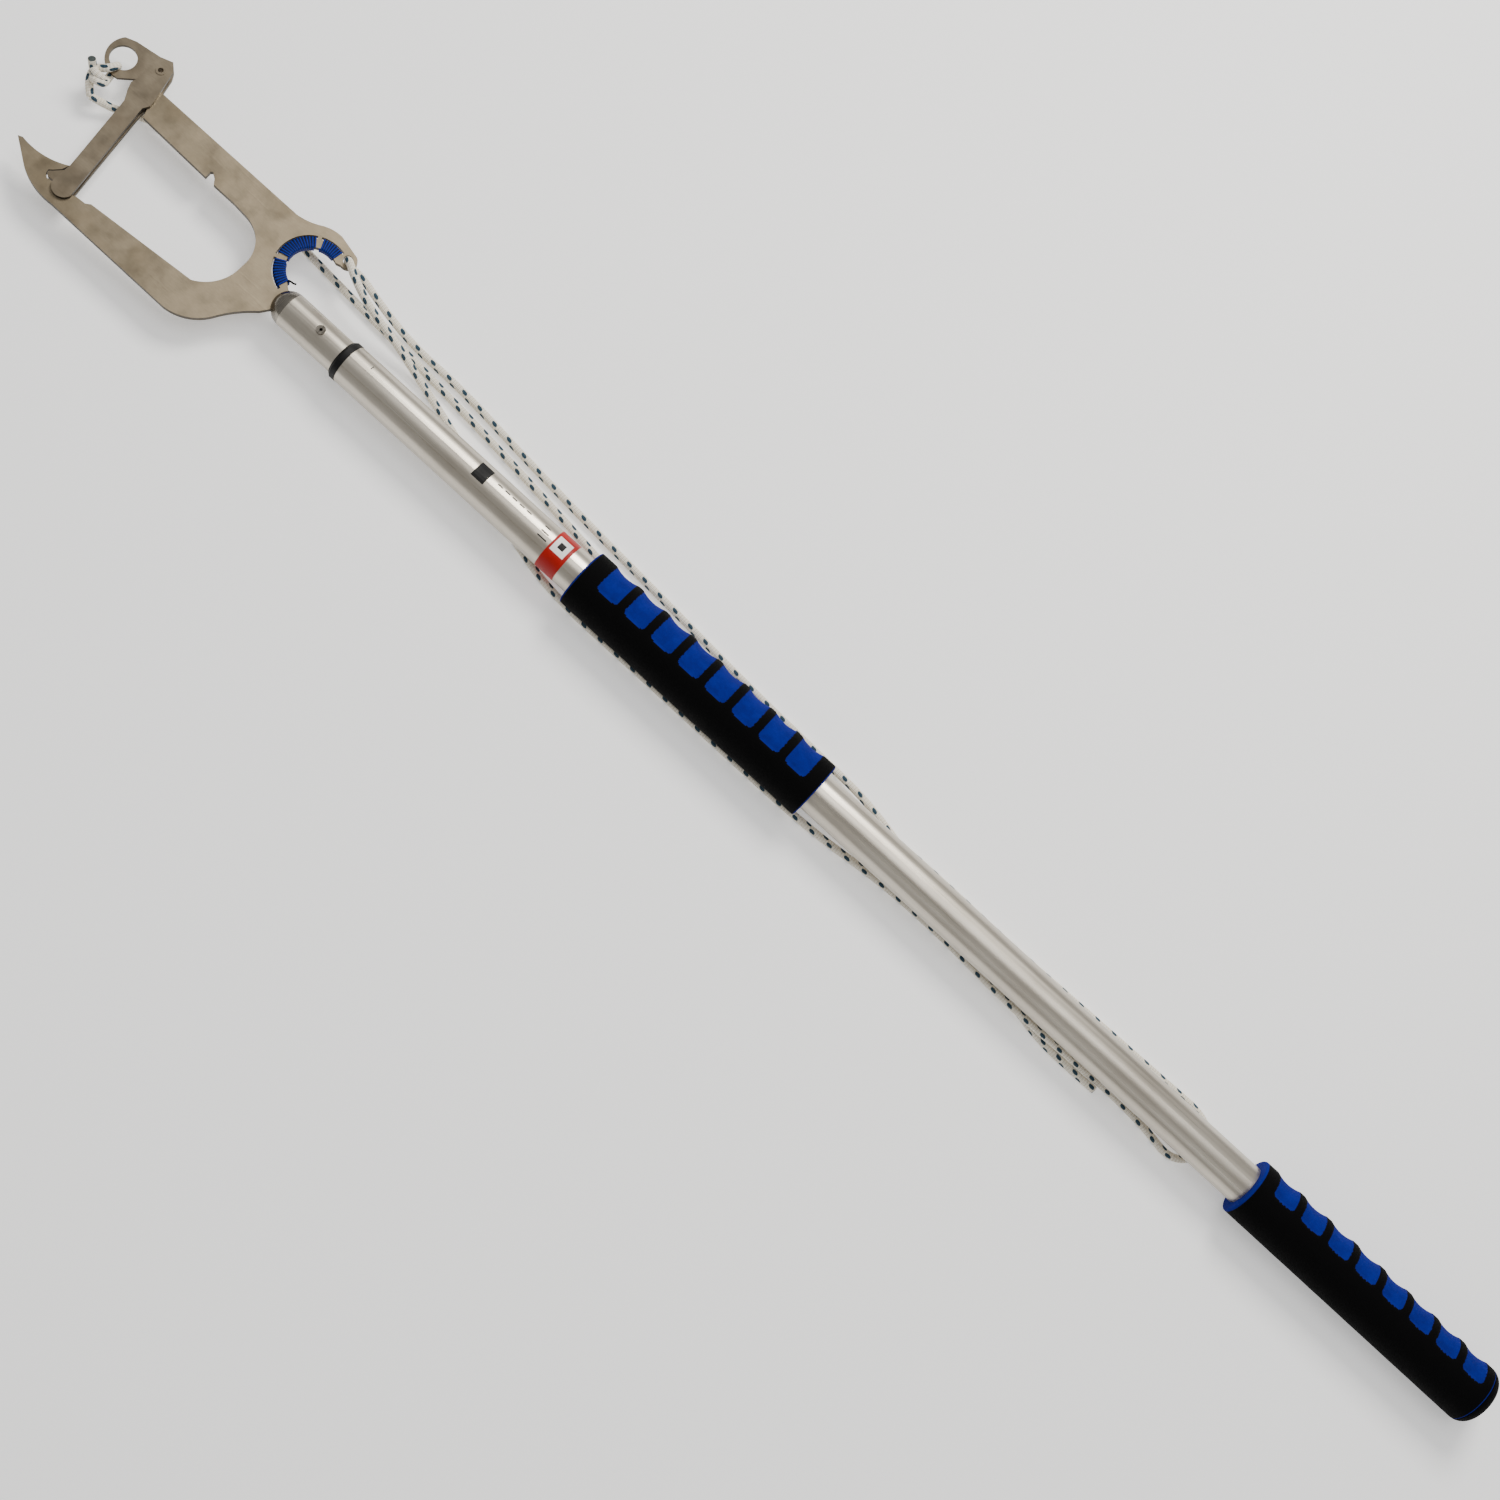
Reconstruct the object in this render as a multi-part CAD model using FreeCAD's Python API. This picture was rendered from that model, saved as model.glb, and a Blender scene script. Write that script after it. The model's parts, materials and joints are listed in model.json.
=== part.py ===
import FreeCAD, Part
import math
import os

# Telescopic boat hook with a sprung gate, a control line and two foam grips.
# X runs along the pole, from the hook to the butt. The hook plate lies flat in XY, +Z up.
# Everything is drawn about the pole's axis, then moved by place() so that the pole lies on its grips.
# Head pieces are drawn from the front edge of the inner tube, at X = 0, and moved to HEAD_X.

V = FreeCAD.Vector
EX = V(1, 0, 0)
EZ = V(0, 0, 1)
CENTRE = V(0, 0, 0)

# Pole
OUTER_R = 16.0
OUTER_BORE_R = 14.4
INNER_R = 14.0
INNER_BORE_R = 12.5
HEAD_X = -469.7
OUTER_X0 = -411.7
OUTER_X1 = 690.0
INNER_LENGTH = 800.0
COLLAR_LENGTH = 6.8
COLLAR_SLEEVE_LENGTH = 12.0
COLLAR_SLEEVE_R = 15.2
COLLAR_BORE_R = 14.06
LINE_GROOVE_ANGLE = -33.0
LINE_GROOVE_DEPTH = 0.35
LINE_GROOVE_WIDTH = 0.7
TAPE_X0 = -215.1
TAPE_X1 = -197.9
TAPE_THICKNESS = 0.15

# Grips
GRIP_R = 23.5
GRIP_CORE_R = 23.0
GRIP_X0 = (-184.2, 466.7)
GRIP_X1 = (44.8, 690.0)
GRIP_COVER_MARGIN = 1.4
FINGER_COUNT = 8
FINGER_WIDTH = 22.0
FINGER_DEPTH = 2.0
FINGER_SPAN = 150.0
FINGER_FIRST = (25.0, 22.5)
FINGER_PITCH = (25.95, 26.05)
FINGER_CENTRE_ANGLE = (57.0, 76.0)
BUTT_X = 698.5

# Hook plate and gate plates, from the inner tube's front edge
PLATE_T = 4.0
GATE_T = 2.5
GATE_GAP = 0.25
PIVOT = (-192.5, 67.3)
PIVOT_PIN_R = 3.0
PIVOT_BORE_R = 2.0
GATE_HOLE_R = 3.06
NOSE_REACH = 116.9
NOSE_R = 4.4
STOP_PIN_REACH = 89.3
STOP_PIN_R = 1.2
ARM_LEAN = 9.25
GATE_EYE = (-220.6, 57.6)
GATE_EYE_R = 10.1
CUTOUT = (-10.3, 32.5)
CUTOUT_R = 19.1
SLOT_R0 = 26.1
SLOT_R1 = 28.3
SLOTS = ((76, 117), (123, 197), (203, 257))
WHIPPINGS = {"whipping_upper": (77, 116), "whipping_middle": (124, 196), "whipping_lower": (204, 256)}
CORD_T = 1.6
HORN_EYE = (2.2, 57.9)
SPRING_FOOT = (-124.0, 52.0)
HORN_EYE_R = 3.8
HORN_END_R = 6.8
DOME_LENGTH = 13.6
SPIGOT_LENGTH = 45.0
TANG_HALF = 10.0
TANG_END = 42.0
RIVET_X = 30.0
RIVET_R = 2.4
RIVET_HEAD_R = 3.6
RIVET_BORE_R = 1.2

# Control line
ROPE_R = 3.0
SPLIT_X = -184.2
FLOOR = -20.4

# The whole object's box, without the line, is centred on the origin
AXIS_X = 2.85
AXIS_Y = -9.2
AXIS_Z = GRIP_R


def cyl_x(r, x0, x1):
    return Part.makeCylinder(r, x1 - x0, V(x0, 0, 0), EX)


def cyl_z(r, z0, z1, xy):
    return Part.makeCylinder(r, z1 - z0, V(xy[0], xy[1], z0), EZ)


def tube_x(r, bore, x0, x1):
    return cyl_x(r, x0, x1).cut(cyl_x(bore, x0 - 1, x1 + 1))


def turned_x(profile):
    """A solid of revolution about X, from (x, radius) corners."""
    wire = Part.makePolygon([V(x, r, 0) for x, r in profile + profile[:1]])
    return Part.Face(wire).revolve(CENTRE, EX, 360)


def polar(centre, r, degrees):
    a = math.radians(degrees)
    return (centre[0] + r * math.cos(a), centre[1] + r * math.sin(a))


def outline(steps):
    """A closed wire in XY. A step is a corner (x, y), or an arc ((x, y) it passes, (x, y) it ends at)."""
    first = V(*steps[0], 0)
    here = first
    edges = []
    for step in steps[1:]:
        is_arc = isinstance(step[0], tuple)
        end = V(*(step[1] if is_arc else step), 0)
        if is_arc:
            edges.append(Part.Arc(here, V(*step[0], 0), end).toShape())
        else:
            edges.append(Part.LineSegment(here, end).toShape())
        here = end
    if here.distanceToPoint(first) > 1e-6:
        edges.append(Part.LineSegment(here, first).toShape())
    return Part.Wire(edges)


def slab(steps, z0, z1):
    """A plate with that outline, between two heights."""
    face = Part.Face(outline(steps))
    face.translate(V(0, 0, z0))
    return face.extrude(V(0, 0, z1 - z0))


def ring_sector(centre, r0, r1, a0, a1, z0, z1):
    steps = [
        polar(centre, r0, a0),
        polar(centre, r1, a0),
        (polar(centre, r1, (a0 + a1) / 2), polar(centre, r1, a1)),
        polar(centre, r0, a1),
        (polar(centre, r0, (a0 + a1) / 2), polar(centre, r0, a0)),
    ]
    return slab(steps, z0, z1)


def along_arm(reach, lean=ARM_LEAN):
    """The point on the closed gate's arm at that distance from its pivot."""
    return polar(PIVOT, reach, lean - 90)


# ---------------------------------------------------------------- pole


def outer_tube():
    tube = tube_x(OUTER_R, OUTER_BORE_R, OUTER_X0, OUTER_X1)
    tube = tube.cut(cyl_x(COLLAR_SLEEVE_R, OUTER_X0 - 1, OUTER_X0 + COLLAR_SLEEVE_LENGTH))
    groove = Part.makeBox(
        OUTER_X1 - OUTER_X0 + 2,
        LINE_GROOVE_WIDTH,
        1.0,
        V(OUTER_X0 - 1, -LINE_GROOVE_WIDTH / 2, OUTER_R - LINE_GROOVE_DEPTH),
    )
    groove.rotate(CENTRE, EX, -LINE_GROOVE_ANGLE)
    return tube.cut(groove)


def guide_collar():
    front = OUTER_X0 - COLLAR_LENGTH
    return turned_x(
        [
            (front, COLLAR_BORE_R),
            (front, OUTER_R - 1.6),
            (front + 2.2, OUTER_R + 0.2),
            (OUTER_X0, OUTER_R + 0.2),
            (OUTER_X0, COLLAR_SLEEVE_R),
            (OUTER_X0 + COLLAR_SLEEVE_LENGTH, COLLAR_SLEEVE_R),
            (OUTER_X0 + COLLAR_SLEEVE_LENGTH, COLLAR_BORE_R),
        ]
    )


def tape_band():
    return tube_x(OUTER_R + TAPE_THICKNESS, OUTER_R, TAPE_X0, TAPE_X1)


def grip_core(i):
    x0 = GRIP_X0[i]
    x1 = GRIP_X1[i]
    core = turned_x(
        [
            (x0, OUTER_R),
            (x0, GRIP_R - 1.4),
            (x0 + GRIP_COVER_MARGIN, GRIP_R - 0.6),
            (x0 + GRIP_COVER_MARGIN, GRIP_CORE_R),
            (x1 - GRIP_COVER_MARGIN, GRIP_CORE_R),
            (x1 - GRIP_COVER_MARGIN, GRIP_R - 0.6),
            (x1, GRIP_R - 1.4),
            (x1, OUTER_R),
        ]
    )
    return cut_fingers(core, i)


def finger_groove(x, angle):
    """A shallow round hollow across the grip, turned part of the way round it."""
    half = FINGER_WIDTH / 2
    bottom = GRIP_R - FINGER_DEPTH
    start = V(x - half, GRIP_R + 0.02, 0)
    end = V(x + half, GRIP_R + 0.02, 0)
    over = GRIP_R + 3
    edges = [
        Part.Arc(start, V(x, bottom, 0), end).toShape(),
        Part.LineSegment(end, V(x + half, over, 0)).toShape(),
        Part.LineSegment(V(x + half, over, 0), V(x - half, over, 0)).toShape(),
        Part.LineSegment(V(x - half, over, 0), start).toShape(),
    ]
    face = Part.Face(Part.Wire(edges))
    face.rotate(CENTRE, EX, 90 - angle - FINGER_SPAN / 2)
    return face.revolve(CENTRE, EX, FINGER_SPAN)


def cut_fingers(shape, i):
    """The finger hollows go through the thin black skin into the foam."""
    for n in range(FINGER_COUNT):
        x = GRIP_X0[i] + FINGER_FIRST[i] + n * FINGER_PITCH[i]
        shape = shape.cut(finger_groove(x, FINGER_CENTRE_ANGLE[i]))
    return shape


def grip_cover(i):
    cover = tube_x(GRIP_R, GRIP_CORE_R, GRIP_X0[i] + GRIP_COVER_MARGIN, GRIP_X1[i] - GRIP_COVER_MARGIN)
    return cut_fingers(cover, i)


def butt_cap():
    """The closed, rounded end of the lower grip."""
    x0 = GRIP_X1[1]
    wire = Part.Wire(
        [
            Part.LineSegment(V(x0, 0, 0), V(x0, GRIP_R - 0.3, 0)).toShape(),
            Part.Arc(V(x0, GRIP_R - 0.3, 0), V(BUTT_X - 1.9, GRIP_R - 4.6, 0), V(BUTT_X, 13, 0)).toShape(),
            Part.LineSegment(V(BUTT_X, 13, 0), V(BUTT_X, 0, 0)).toShape(),
            Part.LineSegment(V(BUTT_X, 0, 0), V(x0, 0, 0)).toShape(),
        ]
    )
    return Part.Face(wire).revolve(CENTRE, EX, 360)


def butt_plug():
    return cyl_x(OUTER_BORE_R - 0.1, OUTER_X1 - 26, OUTER_X1)


# ---------------------------------------------------------------- inner pole and its lock


def rivet_hole():
    return cyl_z(RIVET_R + 0.05, -30, 30, (RIVET_X, 0))


def inner_tube():
    return tube_x(INNER_R, INNER_BORE_R, 0, INNER_LENGTH).cut(rivet_hole())


def inner_end_plug():
    plug = cyl_x(INNER_BORE_R - 0.05, INNER_LENGTH - 24, INNER_LENGTH)
    plug = plug.fuse(cyl_x(INNER_R - 0.1, INNER_LENGTH, INNER_LENGTH + 2)).removeSplitter()
    return plug.cut(cyl_x(3.5, INNER_LENGTH - 20, INNER_LENGTH + 3))


def lock_screw():
    shank = cyl_x(3.5, INNER_LENGTH - 20, INNER_LENGTH + 42)
    return shank.fuse(cyl_x(8.0, INNER_LENGTH + 42, INNER_LENGTH + 45)).removeSplitter()


def lock_cone():
    start = INNER_LENGTH + 16
    return turned_x([(start, 3.6), (start, 10.6), (start + 18, 6.0), (start + 18, 3.6)])


def lock_expander():
    start = INNER_LENGTH + 10
    sleeve = turned_x(
        [(start, 11.6), (start, OUTER_BORE_R - 0.35), (start + 30, OUTER_BORE_R - 0.35), (start + 30, 7.0),
         (start + 24, 7.0), (start + 5, 11.6)]
    )
    slit = Part.makeBox(40, 3, 20, V(start - 1, -1.5, 0))
    return sleeve.cut(slit)


def socket_plug():
    """The domed end of the pole. The hook plate's tang sits in its slot."""
    spigot = cyl_x(INNER_BORE_R - 0.05, 0, SPIGOT_LENGTH)
    shoulder = math.sqrt(0.5)
    wire = Part.Wire(
        [
            Part.Arc(
                V(-DOME_LENGTH, 0, 0),
                V(-DOME_LENGTH * shoulder, INNER_R * shoulder, 0),
                V(0, INNER_R, 0),
            ).toShape(),
            Part.LineSegment(V(0, INNER_R, 0), CENTRE).toShape(),
            Part.LineSegment(CENTRE, V(-DOME_LENGTH, 0, 0)).toShape(),
        ]
    )
    dome = Part.Face(wire).revolve(CENTRE, EX, 360)
    slot = Part.makeBox(
        DOME_LENGTH + TANG_END + 1,
        2 * TANG_HALF + 0.1,
        PLATE_T + 0.1,
        V(-DOME_LENGTH - 1, -TANG_HALF - 0.05, -PLATE_T / 2 - 0.05),
    )
    return dome.fuse(spigot).removeSplitter().cut(slot).cut(rivet_hole())


def head_rivet():
    rivet = cyl_z(RIVET_R, -INNER_R - 0.1, INNER_R + 0.1, (RIVET_X, 0))
    for side in (1, -1):
        head = Part.makeCylinder(RIVET_HEAD_R, 1.3, V(RIVET_X, 0, side * (INNER_R + 0.05)), V(0, 0, side))
        rivet = rivet.fuse(head)
    return rivet.removeSplitter().cut(cyl_z(RIVET_BORE_R, -30, 30, (RIVET_X, 0)))


# ---------------------------------------------------------------- hook plate

HOOK_OUTLINE = [
    (-224.3, -41.9),
    (-220.8, -40.3),
    ((-201.7, -40.0), (-183.3, -32.7)),
    (-184.8, -38.4),
    (-188.5, -43.0),
    (-191.0, -45.4),
    (-190.0, -48.6),
    (-187.3, -50.8),
    (-164.6, -47.3),
    (-163.3, -46.4),
    (-155.1, -45.6),
    (-151.7, -43.0),
    (-63.5, -34.2),
    ((-51.2, -22.4), (-46.5, -1.0)),
    ((-52.2, 19.0), (-72.0, 29.9)),
    (-84.0, 30.9),
    (-104.8, 30.9),
    (-108.1, 35.4),
    (-112.1, 37.8),
    (-113.3, 36.5),
    (-112.8, 31.0),
    (-175.6, 32.4),
    (-179.0, 40.5),
    (-190.5, 57.0),
    (-198.4, 65.0),
    (polar(PIVOT, 6.2, 130), polar(PIVOT, 6.2, 35)),
    (-181.5, 56.0),
    (-47.9, 57.3),
    ((-39.2, 59.4), (-31.0, 63.2)),
    ((-22.7, 67.2), (-13.5, 68.4)),
    polar(HORN_EYE, HORN_END_R, 68),
    (polar(HORN_EYE, HORN_END_R, 0), polar(HORN_EYE, HORN_END_R, -100)),
    polar(CUTOUT, CUTOUT_R, 66),
    (polar(CUTOUT, CUTOUT_R, 158), polar(CUTOUT, CUTOUT_R, 250)),
    (-11.0, TANG_HALF),
    (TANG_END, TANG_HALF),
    (TANG_END, -TANG_HALF),
    (-9.5, -TANG_HALF),
    (-14.0, -17.0),
    ((-24.3, -28.5), (-33.5, -43.6)),
    ((-45.4, -56.7), (-62.5, -62.9)),
    (-171.3, -62.6),
    ((-190.5, -61.3), (-205.1, -55.2)),
]


def head_plate():
    plate = slab(HOOK_OUTLINE, -PLATE_T / 2, PLATE_T / 2)
    for a0, a1 in SLOTS:
        plate = plate.cut(ring_sector(CUTOUT, SLOT_R0, SLOT_R1, a0, a1, -PLATE_T, PLATE_T))
    plate = plate.cut(cyl_z(HORN_EYE_R, -PLATE_T, PLATE_T, HORN_EYE))
    plate = plate.cut(cyl_z(PIVOT_PIN_R + 0.02, -PLATE_T, PLATE_T, PIVOT))
    return plate.cut(rivet_hole())


def whipping(a0, a1):
    """A band of cord wound round the web between the cut-out and a slot."""
    half = PLATE_T / 2
    band = ring_sector(CUTOUT, CUTOUT_R - CORD_T, SLOT_R0 + CORD_T, a0, a1, -half - CORD_T, half + CORD_T)
    return band.cut(ring_sector(CUTOUT, CUTOUT_R, SLOT_R0, a0 - 4, a1 + 4, -half, half))


def pivot_pin():
    stack = PLATE_T / 2 + GATE_GAP + GATE_T
    pin = cyl_z(PIVOT_PIN_R, -stack - 3.4, stack + 0.4, PIVOT)
    pin = pin.fuse(cyl_z(PIVOT_PIN_R + 0.8, stack + 0.1, stack + 0.5, PIVOT))
    pin = pin.fuse(cyl_z(PIVOT_PIN_R + 2.6, -stack - 3.9, -stack - 3.3, PIVOT))
    return pin.removeSplitter().cut(cyl_z(PIVOT_BORE_R, -stack - 6, stack + 6, PIVOT))


def gate_spring():
    """A torsion spring round the pin's back end, with one leg along the upper prong's back."""
    wire_r = 0.6
    coil_r = PIVOT_PIN_R + 0.2 + wire_r
    top = -(PLATE_T / 2 + GATE_GAP + GATE_T) - 0.3 - wire_r
    helix = Part.makeHelix(0.75 * wire_r * 2 + 0.4, 1.6, coil_r)
    helix.translate(V(PIVOT[0], PIVOT[1], top - 1.6))
    start = helix.Edges[0].valueAt(helix.Edges[0].FirstParameter)
    tangent = helix.Edges[0].tangentAt(helix.Edges[0].FirstParameter)
    section = Part.Wire(Part.Circle(start, tangent, wire_r).toShape())
    coil = Part.Wire(helix.Edges).makePipeShell([section], True, True)
    leg_z = top - 1.6
    route = [
        (PIVOT[0], PIVOT[1] - coil_r, leg_z),
        (PIVOT[0] + 6, SPRING_FOOT[1], leg_z),
        (*SPRING_FOOT, leg_z),
        (*SPRING_FOOT, -PLATE_T / 2),
    ]
    path, _ = rope_path(route)
    section = Part.Wire(Part.Circle(V(*route[0]), V(*route[1]) - V(*route[0]), wire_r).toShape())
    return Part.makeCompound([coil, path.makePipeShell([section], True, False)])


# ---------------------------------------------------------------- gate

ARM_OUTLINE = [
    (-185.5, 72.3),
    (-178.0, 45.4),
    (-177.4, 41.3),
    (-179.9, 36.2),
    (-179.4, 32.3),
    (-165.0, -50.0),
    ((-172.3, -56.4), (-182.1, -48.8)),
    (-182.0, -32.8),
    (-192.9, 31.1),
    (-197.4, 38.8),
    (-200.1, 45.3),
    (-199.2, 49.8),
    (-200.6, 71.0),
    ((-193.2, 75.2), (-185.5, 72.3)),
]
EYE_OUTLINE = [
    (-187.6, 75.3),
    (-194.2, 81.3),
    (-203.5, 77.6),
    (-216.5, 75.2),
    (-223.3, 74.0),
    (-231.3, 70.6),
    ((-233.6, 54.5), (-226.5, 45.0)),
    ((-219.5, 42.4), (-212.0, 42.7)),
    (-202.1, 52.3),
    (-199.6, 45.3),
    (-197.1, 38.8),
    (-192.6, 31.1),
    (-181.7, -32.8),
    (-181.8, -48.8),
    ((-172.3, -56.0), (-165.3, -50.0)),
    (-179.6, 32.3),
    (-180.1, 36.2),
    (-177.6, 41.3),
    (-178.2, 45.4),
    (-184.6, 70.0),
]
NOSE_LIP = [
    (-174.0, -40.0),
    (-183.4, -38.0),
    (-184.2, -39.2),
    (-187.9, -43.8),
    (-190.1, -46.0),
    (-189.3, -48.2),
    (-187.3, -49.6),
    (-174.0, -47.5),
]


def pivot_hole():
    return cyl_z(GATE_HOLE_R, -20, 20, PIVOT)


def gate_front_plate():
    z0 = PLATE_T / 2 + GATE_GAP
    return slab(ARM_OUTLINE, z0, z0 + GATE_T).cut(pivot_hole())


def gate_back_plate():
    z1 = -PLATE_T / 2 - GATE_GAP
    plate = slab(EYE_OUTLINE, z1 - GATE_T, z1).cut(pivot_hole())
    return plate.cut(cyl_z(GATE_EYE_R, -20, 20, GATE_EYE))


def gate_nose():
    """The middle layer of the gate's free end, which seats in the lower prong's pocket."""
    half = PLATE_T / 2 + GATE_GAP
    disc = cyl_z(NOSE_R, -half, half, along_arm(NOSE_REACH - NOSE_R))
    lip = slab(NOSE_LIP, -half, half)
    reach = cyl_z(NOSE_REACH, -half, half, PIVOT)
    return disc.fuse(lip).removeSplitter().common(reach)


def gate_stop_pin():
    half = PLATE_T / 2 + GATE_GAP
    return cyl_z(STOP_PIN_R, -half, half, along_arm(STOP_PIN_REACH))


# ---------------------------------------------------------------- control line

# The line's route, about the pole's axis: first the lead from the gate's knot, then the rest.
LEAD_ROUTE = [
    (-686.0, 23.5, FLOOR),
    (-672.0, 28.5, FLOOR),
    (-655.0, 41.0, FLOOR),
    (-632.0, 50.0, FLOOR),
    (-606.0, 52.6, FLOOR),
    (-580.0, 52.9, FLOOR),
]
LINE_ROUTE = [
    (-580.0, 52.9, FLOOR),
    (-530.0, 51.2, FLOOR),
    (-454.0, 46.1, FLOOR),
    (-378.0, 42.2, FLOOR),
    (-300.0, 36.8, FLOOR),
    (-222.0, 29.8, FLOOR),
    (-160.0, 23.0, FLOOR),
    (-85.0, 19.8, FLOOR),
    (0.0, 20.4, FLOOR),
    (80.0, 20.0, FLOOR),
    (155.0, 21.6, FLOOR),
    (235.0, 20.6, FLOOR),
    (310.0, 22.4, FLOOR),
    (378.0, 23.6, FLOOR),
    (424.0, 24.9, FLOOR),
    (435.4, 1.9, FLOOR),
    (419.4, -18.4, FLOOR),
    (388.0, -12.4, FLOOR),
    (352.0, -10.6, FLOOR),
    (308.0, -14.2, -13.6),
    (262.0, -15.6, -13.4),
    (222.0, -12.6, -18.0),
    (186.0, -9.6, FLOOR),
    (126.0, -10.2, FLOOR),
    (60.0, -18.2, FLOOR),
    (-30.0, -18.2, FLOOR),
    (-110.0, -17.9, FLOOR),
    (-190.0, -18.4, FLOOR),
    (-240.0, -8.0, FLOOR),
    (-290.0, 10.0, FLOOR),
    (-332.0, 23.5, FLOOR),
    (-372.0, 34.0, -19.4),
    (-402.0, 39.6, -8.5),
    (-430.0, 42.0, 0.5),
    (-452.5, 49.0, 6.3),
    (HEAD_X + HORN_EYE[0], HORN_EYE[1], 6.3),
    (HEAD_X + HORN_EYE[0], HORN_EYE[1], -6.3),
    (-454.5, 58.8, -6.3),
    (-430.0, 54.4, -12.5),
    (-395.0, 50.8, -19.8),
    (-345.0, 51.4, FLOOR),
    (-278.0, 45.4, FLOOR),
    (-200.0, 40.2, FLOOR),
    (-120.0, 36.2, FLOOR),
    (-45.0, 31.6, FLOOR),
    (36.0, 29.4, FLOOR),
    (78.0, 26.0, -13.6),
    (124.0, 16.6, -13.6),
    (170.0, 6.5, FLOOR),
    (226.0, -4.0, FLOOR),
    (262.0, -12.6, FLOOR),
    (290.0, -17.8, FLOOR),
    (318.0, -18.3, FLOOR),
    (343.0, -17.6, FLOOR),
]


def rope_path(route):
    """Straight runs joined by tangent arcs, each as large as its two runs allow."""
    points = [V(*p) for p in route]
    edges = []
    radii = []
    here = points[0]
    for a, b, c in zip(points, points[1:], points[2:]):
        back = a - b
        ahead = c - b
        half_turn = (math.pi - back.getAngle(ahead)) / 2
        reach = 0.45 * min(back.Length, ahead.Length)
        radii.append(reach / math.tan(half_turn))
        start = b + back.normalize() * reach
        end = b + ahead.normalize() * reach
        inward = (back + ahead).normalize()
        middle = b + inward * (radii[-1] / math.cos(half_turn) - radii[-1])
        edges.append(Part.LineSegment(here, start).toShape())
        edges.append(Part.Arc(start, middle, end).toShape())
        here = end
    edges.append(Part.LineSegment(here, points[-1]).toShape())
    return Part.Wire(edges), radii


def rope_tube(name, route):
    path, radii = rope_path(route)
    direction = V(*route[1]) - V(*route[0])
    section = Part.Wire(Part.Circle(V(*route[0]), direction, ROPE_R).toShape())
    tube = path.makePipeShell([section], True, False)
    full = math.pi * ROPE_R**2 * path.Length
    print(name, "length %.0f mm, volume ratio %.4f" % (path.Length, tube.Volume / full))
    print(name, "radii", " ".join("%.0f" % r for r in radii))
    return tube


def side_of_split(tube, sign):
    """The part of the line in front of the handle's front grip, or behind it."""
    x0 = SPLIT_X if sign > 0 else SPLIT_X - 2000
    return tube.common(Part.makeBox(2000, 400, 400, V(x0, -200, -200)))


def rope_knot():
    """The bowline's outer shape, round the gate eye's lower rim."""
    lumps = [((-694.0, 36.5, -6.0), 6.0), ((-690.0, 44.8, -4.2), 4.6), ((-692.5, 28.5, -8.4), 4.8)]
    knot = Part.makeSphere(lumps[0][1], V(*lumps[0][0]))
    for centre, r in lumps[1:]:
        knot = knot.fuse(Part.makeSphere(r, V(*centre)))
    return knot.removeSplitter()


# ---------------------------------------------------------------- output


def place(shape, in_head=False):
    moved = shape.copy()
    moved.translate(V(AXIS_X + (HEAD_X if in_head else 0), AXIS_Y, AXIS_Z))
    return moved


def main():
    os.makedirs("parts", exist_ok=True)
    line = rope_tube("line", LINE_ROUTE)
    pole = {
        "outer_tube": outer_tube(),
        "guide_collar": guide_collar(),
        "tape_band": tape_band(),
        "upper_grip_core": grip_core(0),
        "upper_grip_cover": grip_cover(0),
        "lower_grip_core": grip_core(1),
        "lower_grip_cover": grip_cover(1),
        "butt_cap": butt_cap(),
        "butt_plug": butt_plug(),
        "rope_knot": rope_knot(),
        "rope_lead": rope_tube("lead", LEAD_ROUTE),
        "rope_front": side_of_split(line, -1),
        "rope_rear": side_of_split(line, 1),
    }
    head = {
        "inner_tube": inner_tube(),
        "inner_end_plug": inner_end_plug(),
        "lock_screw": lock_screw(),
        "lock_cone": lock_cone(),
        "lock_expander": lock_expander(),
        "socket_plug": socket_plug(),
        "head_rivet": head_rivet(),
        "head_plate": head_plate(),
        "pivot_pin": pivot_pin(),
        "gate_spring": gate_spring(),
        "gate_front_plate": gate_front_plate(),
        "gate_back_plate": gate_back_plate(),
        "gate_nose": gate_nose(),
        "gate_stop_pin": gate_stop_pin(),
    }
    for name, angles in WHIPPINGS.items():
        head[name] = whipping(*angles)
    for name, shape in pole.items():
        place(shape).exportStep("parts/%s.step" % name)
    for name, shape in head.items():
        place(shape, in_head=True).exportStep("parts/%s.step" % name)


main()
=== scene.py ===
import json
import math
import random

import bpy
from mathutils import Matrix, Vector


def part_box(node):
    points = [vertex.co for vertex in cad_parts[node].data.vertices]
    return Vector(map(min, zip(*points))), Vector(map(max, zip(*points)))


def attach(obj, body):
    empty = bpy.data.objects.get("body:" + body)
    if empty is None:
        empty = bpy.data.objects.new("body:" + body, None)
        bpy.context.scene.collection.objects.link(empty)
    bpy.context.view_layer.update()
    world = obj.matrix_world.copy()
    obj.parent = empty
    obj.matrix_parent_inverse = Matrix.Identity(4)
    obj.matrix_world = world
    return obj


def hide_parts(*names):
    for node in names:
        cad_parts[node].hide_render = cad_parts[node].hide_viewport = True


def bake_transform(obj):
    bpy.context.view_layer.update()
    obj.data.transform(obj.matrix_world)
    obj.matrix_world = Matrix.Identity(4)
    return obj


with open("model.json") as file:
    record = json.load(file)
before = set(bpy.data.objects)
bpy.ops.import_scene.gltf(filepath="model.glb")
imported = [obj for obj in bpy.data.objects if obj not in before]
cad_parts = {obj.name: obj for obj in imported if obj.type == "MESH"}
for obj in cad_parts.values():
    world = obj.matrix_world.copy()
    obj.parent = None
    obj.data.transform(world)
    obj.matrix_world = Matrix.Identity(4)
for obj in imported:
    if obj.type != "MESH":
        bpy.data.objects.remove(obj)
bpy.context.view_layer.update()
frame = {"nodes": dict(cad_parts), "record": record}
MM = 0.001
random.seed(7)

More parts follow.
